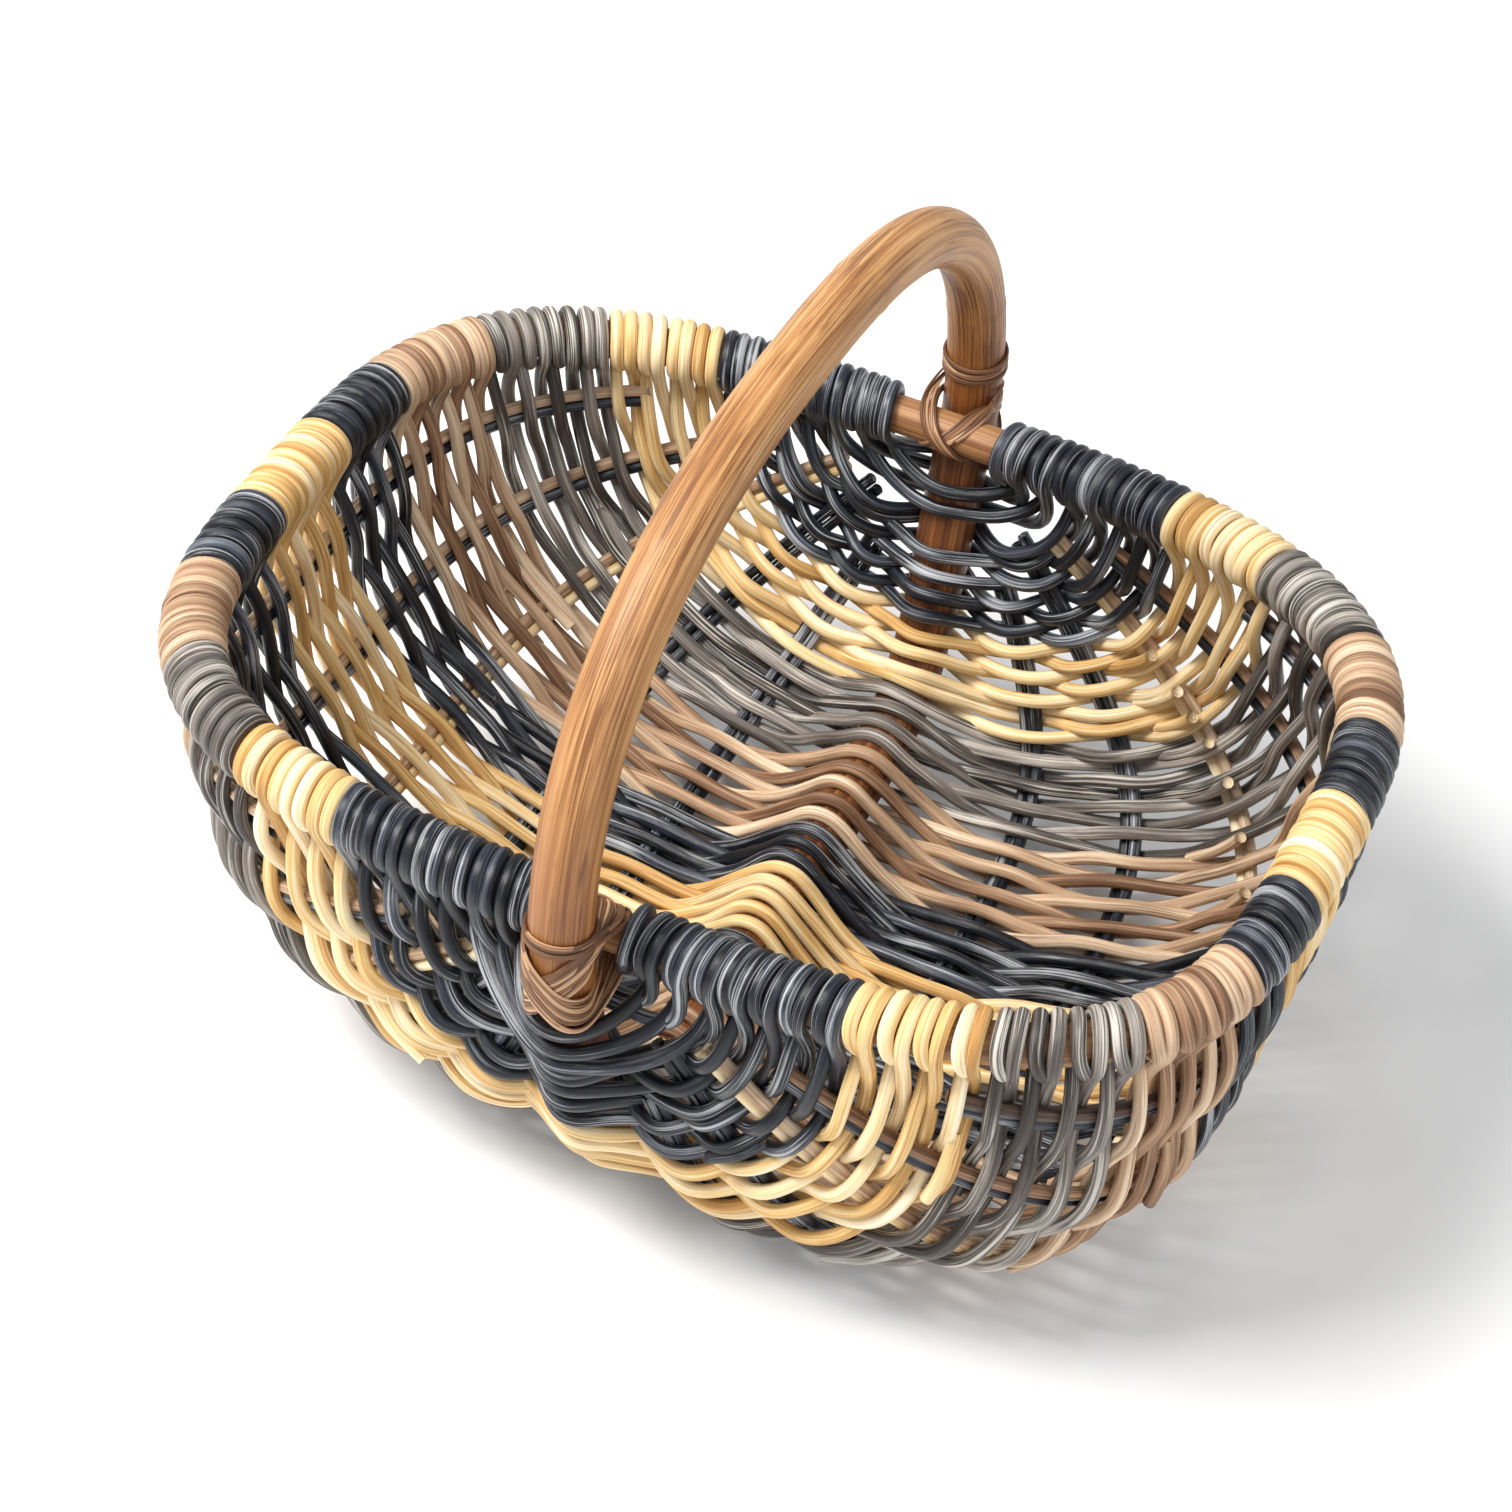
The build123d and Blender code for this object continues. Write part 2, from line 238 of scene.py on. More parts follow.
def pass_points(k, wob):
    """The route of pass k, from under the right rim to under the left."""
    t = k + 0.5 + wob
    even = k % 2 == 0
    # right end: theta 0, left end: theta 180
    side_rim = -1 if even else 1
    RR = CORE_R + W_R + 0.1
    # along-rim place of the crossing under the rim
    under_right = k + 1.0 if even else k + 0.0
    under_left = k + 0.0 if even else k + 1.0
    ribs = []
    for i, deg in enumerate(RIB_DEG):
        f = frac_at(deg, t)
        f = float(f)
        if RIB_F0[i] + 0.004 < f < 1 - RIB_F0[i] - 0.004:
            ribs.append((deg, i))
    m = len(ribs)
    stakes = [("rim", 0.0)] + [("rib", d) for d, _ in ribs] + [("hoop", 90.0)] + [("rib", 180 - d) for d, _ in reversed(ribs)] + [("rim", 180.0)]

    def loop(under, mirror):
        """From under the rim, up and over, to leaving it on the side of the first stretch."""
        end = 206 if even else -26
        n = 30
        if even:
            psi = np.linspace(-90, end, n)
        else:
            psi = np.linspace(270, end, n)
        w = np.linspace(0, 1, n)
        ease = np.clip((w - 0.0) / 0.42, 0, 1)
        ease = ease * ease * (3 - 2 * ease)
        tt = under * (1 - ease) + t * ease
        # the turn leans a little as it goes over
        lean_amt = -0.30 * np.cos(np.radians(psi)) * np.clip((w - 0.12) / 0.3, 0, 1)
        tt = tt + lean_amt
        p, nn, _ = rim_frame(rim_s(tt))
        a = np.radians(psi)[:, None]
        up = np.array([0, 0, 1.0])
        q = p + RR * (np.cos(a) * nn + np.sin(a) * up)
        if mirror:
            q = q * [-1, 1, 1]
        return q

    right = loop(under_right, False)
    left = loop(under_left, True)[::-1]

    # the wall part
    ext = 26.0
    sp = float(hoop_s(t))
    hp, hn, hd = hoop_frame(sp)
    j_hoop = m + 1
    side_hoop = side_rim * (-1) ** j_hoop
    RH = HANDLE_R + W_R + 0.1
    alphas = np.radians(np.linspace(-ext, ext, 9))
    arc = hp + RH * (np.cos(alphas)[:, None] * side_hoop * hn + np.sin(alphas)[:, None] * np.array([1.0, 0, 0]))
    # arc runs from -x to +x; theta 0 is +x
    arc = arc[::-1]

    def theta_of(p):
        return math.degrees(math.atan2(RIM_Z - p[2], p[0]))

    th_r = theta_of(right[-1] * [1, 1, 1])
    th_a = theta_of(arc[0])
    keys = [(max(th_r, 0.3), right[-1], "end")]
    for j, (kind, th) in enumerate(stakes):
        if kind == "rib":
            s = side_rim * (-1) ** j
            b = base(th, t)[0]
            n = normals(th, t)[0]
            keys.append((th, b + n * s * (ROD_R + W_R + 0.05), "rib"))
        elif kind == "hoop":
            keys.append((th_a, arc[0], "arc"))
            keys.append((180 - th_a, arc[-1], "arc"))
    keys.append((180 - max(theta_of(left[0] * [-1, 1, 1]), 0.3), left[0], "end"))
    out = [right]
    for (ta, pa, ka), (tb, pb, kb) in zip(keys, keys[1:]):
        if ka == "arc" and kb == "arc":
            out.append(arc[1:-1])
            continue
        n = max(5, int(np.linalg.norm(pb - pa) / 3.2) + 1)
        th = np.linspace(ta, tb, n)
        B = base(th, t)
        w = np.linspace(0, 1, n)
        if ka != "rib" and kb == "rib":
            S = np.sin(np.pi * w / 2)
        elif ka == "rib" and kb != "rib":
            S = 1 - np.cos(np.pi * w / 2)
        elif ka == "rib" and kb == "rib":
            S = 0.5 - 0.5 * np.cos(np.pi * w)
        else:
            S = w * w * (3 - 2 * w) * 0.4 + 0.6 * w
        da, db = pa - B[0], pb - B[-1]
        q = B + da * (1 - S)[:, None] + db * S[:, None]
        out.append(q[(0 if ka == "rib" else 1):(-1)] if kb != "rib" else q[(0 if ka == "rib" else 1):-1])
    out.append(left)
    P = np.vstack(out)
    return P


def sway(P, amount):
    """Slow drift of a rod about its route, fading out at both ends."""
    s = np.concatenate([[0], np.cumsum(np.linalg.norm(np.diff(P, axis=0), axis=1))])
    fade = np.clip((s - 75) / 40, 0, 1) * np.clip((s[-1] - 75 - s) / 40, 0, 1)
    d = np.zeros_like(P)
    for c in range(3):
        for wl, am in ((95.0, 0.6), (43.0, 0.4)):
            d[:, c] += am * np.sin(2 * np.pi * s / (wl * rng.uniform(0.8, 1.25)) + rng.uniform(0, 6.28))
    return P + d * fade[:, None] * amount


def resample(P, step):
    d = np.linalg.norm(np.diff(P, axis=0), axis=1)
    keep = np.concatenate([[True], d > 1e-4])
    tr = Track(P[keep])
    n = max(3, int(tr.length / step) + 1)
    return tr.at(np.linspace(0, tr.length, n))


def relax(P, rounds=2):
    Q = P.copy()
    for _ in range(rounds):
        Q[1:-1] = 0.25 * Q[:-2] + 0.5 * Q[1:-1] + 0.25 * Q[2:]
    return Q


# ---- tubes with their own straightened coordinates ----------------------
class Bundle:
    """Gathers rods into one mesh. rod = straightened coordinates in metres, tone = one number per rod."""

    def __init__(self):
        self.v, self.f, self.rod, self.tone, self.uv, self.mat = [], [], [], [], [], []
        self.n = 0
        self.rows = 0

    def add(self, P, r, sides=8, tone=None, wobble=0.03, mat=0, caps=True, cap_mat=None, closed=False, flat=None, up=None, soft_end=0.25):
        P = np.asarray(P, float)
        n = len(P)
        if closed:
            T = unit(np.roll(P, -1, 0) - np.roll(P, 1, 0))
        else:
            T = unit(np.gradient(P, axis=0))
        s = np.concatenate([[0], np.cumsum(np.linalg.norm(np.diff(P, axis=0), axis=1))])
        # carry a frame along the rod
        N = np.zeros_like(P)
        a = np.array([0.0, 0, 1.0]) if abs(T[0][2]) < 0.9 else np.array([1.0, 0, 0])
        if up is not None:
            a = np.asarray(up[0] if np.ndim(up) == 2 else up, float)
        N[0] = unit(a - T[0] * (a @ T[0]))
        for i in range(1, n):
            if up is not None:
                a = np.asarray(up[i] if np.ndim(up) == 2 else up, float)
            else:
                a = N[i - 1]
            N[i] = unit(a - T[i] * (a @ T[i]))
        B = np.cross(T, N)
        rr = np.broadcast_to(np.asarray(r, float), (n,)).copy()
        if wobble:
            ph = rng.uniform(0, 9)
            rr *= 1 + wobble * (np.sin(s / 17.0 + ph) * 0.6 + np.sin(s / 6.1 + 2 * ph) * 0.4)
        ang = np.linspace(0, 2 * np.pi, sides, endpoint=False)
        ca, sa = np.cos(ang), np.sin(ang)
        if flat is not None:
            ca, sa = ca * flat[0], sa * flat[1]
        ring = P[:, None, :] + rr[:, None, None] * (ca[None, :, None] * N[:, None, :] + sa[None, :, None] * B[:, None, :])
        off = nrg.uniform(-400, 400, 3)
        rod = np.empty_like(ring)
        rod[:, :, 0] = off[0] + np.mean(rr) * np.cos(ang)[None, :]
        rod[:, :, 1] = off[1] + np.mean(rr) * np.sin(ang)[None, :]
        rod[:, :, 2] = off[2] + s[:, None]
        tone = rng.random() if tone is None else tone
        o = self.n
        self.v.append(ring.reshape(-1, 3))
        self.rod.append(rod.reshape(-1, 3))
        self.tone.append(np.full(n * sides, tone))
        i = np.arange(n - 1 if not closed else n)
        j = np.arange(sides)
        I, J = np.meshgrid(i, j, indexing="ij")
        I2, J2 = (I + 1) % n, (J + 1) % sides
        q = np.stack([o + I * sides + J, o + I2 * sides + J, o + I2 * sides + J2, o + I * sides + J2], -1).reshape(-1, 4)
        self.f.append(("q", q, np.full(len(q), mat), self.rows, (I.ravel(), J.ravel(), n, sides, s, s[-1])))
        self.n += n * sides
        if caps and not closed:
            cm = mat if cap_mat is None else cap_mat
            for idx, sgn in ((0, -1), (n - 1, 1)):
                c = P[idx] + T[idx] * sgn * soft_end * rr[idx]
                self.v.append(c[None])
                self.rod.append(rod[idx].mean(0)[None] + [[0, 0, sgn * 0.5]])
                self.tone.append(np.array([tone]))
                base_i = o + idx * sides
                tri = np.stack([np.full(sides, self.n), base_i + (j + (1 if sgn < 0 else 0)) % sides, base_i + (j + (0 if sgn < 0 else 1)) % sides], -1)
                self.f.append(("t", tri, np.full(sides, cm), self.rows, None))
                self.n += 1
        self.rows += 1
        return s[-1]

    def build(self, name, mats, smooth=True):
        V = np.vstack(self.v) * MM
        me = bpy.data.meshes.new(name)
        loops, starts, totals, mi, uv = [], [], [], [], []
        at = 0
        longest = max([f[4][5] for f in self.f if f[4] is not None])
        for kind, idx, m, row, info in self.f:
            k = 4 if kind == "q" else 3
            loops.append(idx.ravel())
            starts.append(at + np.arange(len(idx)) * k)
            totals.append(np.full(len(idx), k))
            mi.append(m)
            at += idx.size
            if info is not None:
                I, J, n, sides, s, L = info
                s2 = np.concatenate([s, [L + 1]])
                u0, u1 = s2[I] / (longest + 1), s2[np.minimum(I + 1, len(s2) - 1)] / (longest + 1)
                v0, v1 = (row + 0.06 + 0.88 * J / sides) / self.rows, (row + 0.06 + 0.88 * (J + 1) / sides) / self.rows
                uv.append(np.stack([np.stack([u0, v0], -1), np.stack([u1, v0], -1), np.stack([u1, v1], -1), np.stack([u0, v1], -1)], 1).reshape(-1, 2))
            else:
                uv.append(np.tile([[0.002, (row + 0.5) / self.rows], [0.004, (row + 0.4) / self.rows], [0.004, (row + 0.6) / self.rows]], (len(idx), 1)))
        loops, starts, totals, mi, uv = map(np.concatenate, (loops, starts, totals, mi, uv))
        me.vertices.add(len(V))
        me.vertices.foreach_set("co", V.astype(np.float32).ravel())
        me.loops.add(len(loops))
        me.loops.foreach_set("vertex_index", loops.astype(np.int32))
        me.polygons.add(len(starts))
        me.polygons.foreach_set("loop_start", starts.astype(np.int32))
        me.polygons.foreach_set("material_index", mi.astype(np.int32))
        me.polygons.foreach_set("use_smooth", np.ones(len(starts), bool))
        lay = me.uv_layers.new(name="OFBake")
        lay.uv.foreach_set("vector", uv.astype(np.float32).ravel())
        me.update(calc_edges=True)
        me.validate()
        a = me.attributes.new("rod", "FLOAT_VECTOR", "POINT")
        a.data.foreach_set("vector", (np.vstack(self.rod) * MM).astype(np.float32).ravel())
        b = me.attributes.new("tone", "FLOAT", "POINT")
        b.data.foreach_set("value", np.concatenate(self.tone).astype(np.float32))
        for mt in mats:
            me.materials.append(mt)
        ob = bpy.data.objects.new(name, me)
        bpy.context.scene.collection.objects.link(ob)
        return ob


# ---- materials ----------------------------------------------------------
def cane(name, stops, streak=1.0, fine=1.0, wear=None, rough=(0.45, 0.7), bump=0.25, tone_amt=0.35, coat=0.0, blotch=0.3, spec=0.4, lower=None):
    """Split or round rods: lengthwise grain in the rod's own coordinates, a tone per rod, worn streaks (on the black
    and grey rods partly painted highlight), a fine bump and, where lower is given, painted shade towards the foot of
    the handle.
    """
    m = bpy.data.materials.new(name)
    m.use_nodes = True
    nt = m.node_tree
    N, L = nt.nodes, nt.links
    bsdf = N["Principled BSDF"]
    rod = N.new("ShaderNodeAttribute"); rod.attribute_name = "rod"
    tone = N.new("ShaderNodeAttribute"); tone.attribute_name = "tone"

    def noise(sx, sz, detail=4, rough_=0.6, dist=0.0):
        mp = N.new("ShaderNodeMapping"); mp.inputs["Scale"].default_value = (sx, sx, sz)
        L.new(rod.outputs["Vector"], mp.inputs["Vector"])
        nz = N.new("ShaderNodeTexNoise"); nz.inputs["Scale"].default_value = 1.0
        nz.inputs["Detail"].default_value = detail; nz.inputs["Roughness"].default_value = rough_
        nz.inputs["Distortion"].default_value = dist
        L.new(mp.outputs["Vector"], nz.inputs["Vector"])
        return nz.outputs["Fac"]

    def maths(op, a, b=None, clamp=False):
        n = N.new("ShaderNodeMath"); n.operation = op; n.use_clamp = clamp
        for i, x in enumerate((a, b)):
            if x is None:
                continue
            if isinstance(x, (int, float)):
                n.inputs[i].default_value = x
            else:
                L.new(x, n.inputs[i])
        return n.outputs[0]

    grain = noise(980 * fine, 20 * streak, 6, 0.72)
    broad = noise(260, 9, 3, 0.5)
    patch = noise(40, 14, 2, 0.5)
    mix = maths("ADD", maths("MULTIPLY", maths("SUBTRACT", grain, 0.5), 1.25), maths("MULTIPLY", maths("SUBTRACT", broad, 0.5), 0.75))
    mix = maths("ADD", mix, 0.5)
    mix = maths("ADD", mix, maths("MULTIPLY", maths("SUBTRACT", tone.outputs["Fac"], 0.5), tone_amt))
    mix = maths("ADD", mix, maths("MULTIPLY", maths("SUBTRACT", patch, 0.5), blotch))
    ramp = N.new("ShaderNodeValToRGB")
    el = ramp.color_ramp.elements
    el[0].position, el[0].color = stops[0][0], (*stops[0][1], 1)
    el[1].position, el[1].color = stops[-1][0], (*stops[-1][1], 1)
    for pos, col in stops[1:-1]:
        e = el.new(pos); e.color = (*col, 1)
    L.new(mix, ramp.inputs["Fac"])
    colour = ramp.outputs["Color"]
    # streaks mixed over the colour: worn streaks of the cane; on the black and grey rods the light streaks are also
    # painted highlight
    if wear:
        wn = noise(wear.get("sx", 900), wear.get("sz", 35), 6, 0.7)
        wp = noise(60, 18, 2, 0.5)
        amount = maths("ADD", wn, maths("MULTIPLY", maths("SUBTRACT", wp, 0.5), 0.55))
        mask = N.new("ShaderNodeValToRGB")
        mask.color_ramp.elements[0].position = wear["lo"]
        mask.color_ramp.elements[0].color = (0, 0, 0, 1)
        mask.color_ramp.elements[1].position = wear["hi"]
        mask.color_ramp.elements[1].color = (wear.get("k", 1.0),) * 3 + (1,)
        L.new(amount, mask.inputs["Fac"])
        mx = N.new("ShaderNodeMixRGB")
        L.new(mask.outputs["Color"], mx.inputs["Fac"])
        L.new(colour, mx.inputs["Color1"])
        mx.inputs["Color2"].default_value = (*wear["col"], 1)
        colour = mx.outputs["Color"]
    if lower:
        # painted shade: darker, more orange colour towards the foot of the handle, by height on the piece
        geo = N.new("ShaderNodeTexCoord")
        sep = N.new("ShaderNodeSeparateXYZ")
        L.new(geo.outputs["Object"], sep.inputs["Vector"])
        painted_shade_by_height = N.new("ShaderNodeMapRange")
        painted_shade_by_height.inputs["From Min"].default_value, painted_shade_by_height.inputs["From Max"].default_value = 0.335, 0.205
        painted_shade_by_height.clamp = True
        L.new(sep.outputs["Z"], painted_shade_by_height.inputs["Value"])
        mt = N.new("ShaderNodeMixRGB"); mt.blend_type = "MULTIPLY"
        L.new(painted_shade_by_height.outputs["Result"], mt.inputs["Fac"])
        L.new(colour, mt.inputs["Color1"])
        mt.inputs["Color2"].default_value = (*lower, 1)
        colour = mt.outputs["Color"]
    L.new(colour, bsdf.inputs["Base Color"])
    rr = N.new("ShaderNodeMapRange")
    rr.inputs["To Min"].default_value, rr.inputs["To Max"].default_value = rough
    L.new(grain, rr.inputs["Value"])
    L.new(rr.outputs["Result"], bsdf.inputs["Roughness"])
    bsdf.inputs["Specular IOR Level"].default_value = spec
    if coat:
        bsdf.inputs["Coat Weight"].default_value = coat
        bsdf.inputs["Coat Roughness"].default_value = 0.22
    bp = N.new("ShaderNodeBump")
    bp.inputs["Strength"].default_value = bump
    bp.inputs["Distance"].default_value = 0.0006
    L.new(mix, bp.inputs["Height"])
    L.new(bp.outputs["Normal"], bsdf.inputs["Normal"])
    return m


M = {
    # black rods: the light blue-grey streaks are partly worn cane, partly painted highlight
    "black": cane("rod_black", [(0.22, (0.0020, 0.0025, 0.0040)), (0.48, (0.0055, 0.0068, 0.0110)), (0.66, (0.020, 0.025, 0.038)), (0.90, (0.120, 0.135, 0.165))],
                  wear=dict(lo=0.555, hi=0.645, col=(0.50, 0.52, 0.55), k=0.78, sx=1020, sz=12), rough=(0.20, 0.46), spec=0.45, bump=0.5, tone_amt=0.24, blotch=0.45),
    "buff": cane("rod_buff", [(0.18, (0.42, 0.205, 0.060)), (0.38, (0.67, 0.415, 0.145)), (0.56, (0.83, 0.630, 0.335)), (0.82, (0.95, 0.84, 0.62))],
                 wear=dict(lo=0.56, hi=0.68, col=(0.34, 0.150, 0.050), k=0.55, sx=860, sz=10), tone_amt=0.34, bump=0.4, blotch=0.45),
    # grey rods: the pale streaks and the pale top of the ramp are partly the cane's own colour, partly painted
    # highlight
    "grey": cane("rod_grey", [(0.20, (0.024, 0.019, 0.016)), (0.42, (0.080, 0.067, 0.058)), (0.60, (0.180, 0.156, 0.136)), (0.84, (0.42, 0.38, 0.335))],
                 wear=dict(lo=0.53, hi=0.62, col=(0.72, 0.67, 0.60), k=0.8, sx=860, sz=10), rough=(0.35, 0.6), tone_amt=0.34, bump=0.5, blotch=0.5),
    "brown": cane("rod_brown", [(0.18, (0.130, 0.062, 0.030)), (0.38, (0.32, 0.180, 0.100)), (0.58, (0.53, 0.350, 0.215)), (0.84, (0.80, 0.64, 0.46))],
                  wear=dict(lo=0.55, hi=0.66, col=(0.105, 0.046, 0.022), k=0.65, sx=860, sz=10), tone_amt=0.42, bump=0.45, blotch=0.5),
    # the handle cane's lower colour is painted shade, multiplied in towards the foot of the handle
    "hoop": cane("cane_handle", [(0.15, (0.26, 0.105, 0.032)), (0.38, (0.46, 0.225, 0.080)), (0.58, (0.62, 0.350, 0.148)), (0.85, (0.78, 0.53, 0.29))],
                 streak=0.5, fine=0.95, wear=dict(lo=0.54, hi=0.62, col=(0.17, 0.060, 0.018), k=0.8, sx=1000, sz=16), rough=(0.36, 0.58), coat=0.06, bump=0.4, tone_amt=0.2, blotch=0.35, lower=(0.56, 0.40, 0.26)),
    "spine": cane("cane_spine", [(0.15, (0.060, 0.018, 0.005)), (0.38, (0.150, 0.050, 0.015)), (0.58, (0.27, 0.100, 0.032)), (0.85, (0.42, 0.195, 0.072))],
                  streak=0.22, fine=0.95, wear=dict(lo=0.58, hi=0.68, col=(0.045, 0.012, 0.004), k=0.80, sx=1300, sz=9), rough=(0.30, 0.52), coat=0.1, bump=0.4, blotch=0.5),
    "core": cane("rim_core_cane", [(0.20, (0.070, 0.024, 0.008)), (0.5, (0.22, 0.092, 0.034)), (0.80, (0.42, 0.22, 0.095))], streak=0.3, rough=(0.35, 0.6), bump=0.4),
    "split": cane("split_cane", [(0.20, (0.080, 0.030, 0.011)), (0.5, (0.250, 0.115, 0.050)), (0.80, (0.56, 0.34, 0.19))], streak=0.6, rough=(0.32, 0.6), tone_amt=0.55, bump=0.45,
                  wear=dict(lo=0.56, hi=0.70, col=(0.05, 0.018, 0.008), k=0.7, sx=1150, sz=12)),
    "dark": cane("rod_dark_brown", [(0.20, (0.018, 0.009, 0.006)), (0.44, (0.060, 0.031, 0.020)), (0.62, (0.140, 0.082, 0.054)), (0.84, (0.32, 0.22, 0.155))],
                 wear=dict(lo=0.58, hi=0.70, col=(0.46, 0.38, 0.30), k=0.6, sx=1150, sz=12), rough=(0.30, 0.6), bump=0.45, tone_amt=0.3),
    "cut": cane("cut_end", [(0.28, (0.42, 0.29, 0.15)), (0.5, (0.68, 0.52, 0.31)), (0.76, (0.86, 0.73, 0.52))], rough=(0.6, 0.85)),
}

# ---- the weave ----------------------------------------------------------
band_of = []
for b in BANDS:
    band_of += [b[0] + "_front"] * b[1]
back = [x.replace("_front", "_back") for x in reversed(band_of)]
band_of = band_of + ["buff_middle"] * MID + back
colour_of = {"black_ear": "black", "buff": "buff", "grey": "grey", "brown": "brown", "black_mid": "black", "buff_middle": "buff"}


def colour(name):
    return colour_of[name.replace("_front", "").replace("_back", "")]


routes = [pass_points(k, rng.uniform(-0.10, 0.10)) for k in range(NPASS)]
bundles = {}
for k, P in enumerate(routes):
    P = sway(relax(resample(P, 2.6), 2), 0.75)
    # the lowest rods rest on the ground instead of sinking below it
    rest = W_R - 0.5
    P[:, 2] = 0.5 * (P[:, 2] + rest + np.sqrt((P[:, 2] - rest) ** 2 + 1.4))
    name = band_of[k]
    bundles.setdefault(name, Bundle()).add(P, W_R * rng.uniform(1.07, 1.18), sides=12, caps=False, wobble=0.05)

# ends of rods, cut where one rod gives way to the next
def tail(k, theta, side, before, after, rise, dt=0.5, r=W_R):
    t = k + 0.5 + dt
    mm_per_deg = np.linalg.norm(base(theta + 1, t)[0] - base(theta - 1, t)[0]) / 2
    th = np.linspace(theta - before / mm_per_deg, theta + after / mm_per_deg, 14)
    B, n = base(th, t), normals(th, t)
    w = np.linspace(0, 1, 14)
    lift = (ROD_R + W_R) * np.clip(w / 0.45, 0, 1) ** 0.8 + rise * np.clip((w - 0.45) / 0.55, 0, 1)
    P = B + n * (side * lift)[:, None]
    bundles[band_of[k]].add(P, r, sides=10, cap_mat=1, soft_end=0.08)


for k, th, sd, be, af, ri in [
        (NPASS - 20, 38.5, -1, 24, 12, 3.5), (NPASS - 17, 38.5, -1, 26, 13, 4.0), (NPASS - 24, 38.5, -1, 28, 11, 3.0), (NPASS - 27, 38.5, -1, 24, 14, 4.5),
        (NPASS - 31, 38.5, -1, 30, 10, 3.5), (NPASS - 35, 25.0, -1, 26, 12, 3.5), (NPASS - 36, 38.5, -1, 25, 12, 3.0), (NPASS - 22, 38.5, -1, 22, 11, 3.5),
        (NPASS - 26, 141.5, -1, 26, -12, 3.0), (NPASS - 33, 141.5, -1, 24, -13, 3.0), (58, 141.5, -1, 24, -12, 3.5), (44, 126.5, -1, 24, -12, 3.5),
        (52, 53.5, -1, 26, 12, 3.0), (38, 38.5, -1, 25, 12, 3.0), (30, 38.5, 1, 24, 12, 2.5), (20, 25.0, 1, 22, 12, 2.5), (24, 53.5, 1, 26, 12, 2.5),
        (12, 53.5, 1, 16, 9, 2.0), (34, 25.0, 1, 24, 11, 2.5), (18, 126.5, 1, 22, -12, 2.5), (28, 141.5, 1, 22, -12, 2.5), (46, 25.0, 1, 22, 11, 2.0),
        (NPASS - 22, 53.5, 1, 22, 11, 2.0), (NPASS - 34, 38.5, 1, 22, 11, 2.0), (66, 141.5, 1, 22, -11, 2.0)]:
    if sd < 0 and th < 90:
        # inside on the right these ends point up towards the rim and stand off the wall
        be, af, ri = -be, -af, ri * 1.9
    elif af < 0:
        be, af = -be, af
    tail(k, th, sd, be, af, ri)
# one more turn on the rim on each side of the front lashing
for sx in (1, -1):
    p0, n0, d0 = rim_frame(np.array(20.6))
    a = np.linspace(0, 2 * np.pi, 40, endpoint=False)[:, None]
    turn = p0 + (CORE_R + W_R + 0.1) * (np.cos(a) * n0 + np.sin(a) * np.array([0, 0, 1.0])) + d0 * 0.9 * np.sin(a + 0.6)
    bundles["black_ear_front"].add(turn * [sx, 1, 1], W_R * 1.1, sides=12, closed=True, wobble=0.04)
for name, bu in bundles.items():
    ob = bu.build("weave_of_" + name, [M[colour(name)], M["cut"]])
    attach(ob, "root")
    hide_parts("weave_outer_" + name, "weave_inner_" + name, "rim_wrap_" + name)

# ---- ribs ---------------------------------------------------------------
RIB_LOOK = {1: ("dark", "black"), 2: ("brown", "black"), 3: ("brown", "buff"), 4: ("black", "black"), 5: ("black", "black")}
for i, deg in enumerate(RIB_DEG):
    for sx, sname in ((1, "right"), (-1, "left")):
        for off, lname, which in ((ROD_GAP, "upper", 0), (-ROD_GAP, "lower", 1)):
            f0 = RIB_F0[i] + rng.uniform(-0.006, 0.004)
            f1 = 1 - RIB_F0[i] + rng.uniform(-0.004, 0.006)
            P = on_wall(np.full(160, deg if sx > 0 else 180 - deg), np.linspace(f0, f1, 160))
            across = np.array([sx * math.sin(math.radians(deg)), 0, math.cos(math.radians(deg))])
            P = P + off * across
            bu = Bundle()
            bu.add(P, ROD_R, sides=12, cap_mat=0 if i > 2 else 1, soft_end=0.35)
            look = "brown" if i == 0 and which == 0 and sx < 0 else RIB_LOOK[i + 1][which]
            node = f"rib_{i + 1}_{lname}_{sname}"
            ob = bu.build(node + "_rod", [M[look], M["cut"]])
            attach(ob, "root")
            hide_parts(node)

# ---- hoops --------------------------------------------------------------
a = np.linspace(0, np.pi, 161)[1:-1]
c, s = np.cos(a), np.sin(a)
rr = 1.0 / ((np.abs(c) / HANDLE_Y) ** HANDLE_N + (np.abs(s) / HANDLE_H) ** HANDLE_N) ** (1 / HANDLE_N)
up_pts = np.stack([0 * c, rr * c, RIM_Z + rr * s], -1)
loop_pts = np.vstack([HOOP.p, up_pts])
tr = Track(np.vstack([loop_pts, loop_pts[:1]]))
P = tr.at(np.linspace(0, tr.length, 421)[:-1])
sarc = np.linspace(0, tr.length, 421)[:-1]
joint_r = np.full(len(P), HANDLE_R)
for at in (HOOP.length + 62, HOOP.length + 238, HOOP.length + 405, 120, 330, 520):
    joint_r = joint_r + 0.32 * np.exp(-((sarc - at) / 1.9) ** 2) - 0.22 * np.exp(-((sarc - at - 4.5) / 1.7) ** 2)
bu = Bundle()
bu.add(P, joint_r, sides=48, closed=True, wobble=0.006, up=(1.0, 0, 0))
q4 = bu.f[0]
ring_of = q4[4][0]
below = (sarc[ring_of] > 22) & (sarc[ring_of] < HOOP.length - 22)
bu.f[0] = (q4[0], q4[1], below.astype(int), q4[3], q4[4])
ob = bu.build("handle_cane", [M["hoop"], M["spine"]])
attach(ob, "root"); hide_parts("handle_hoop")

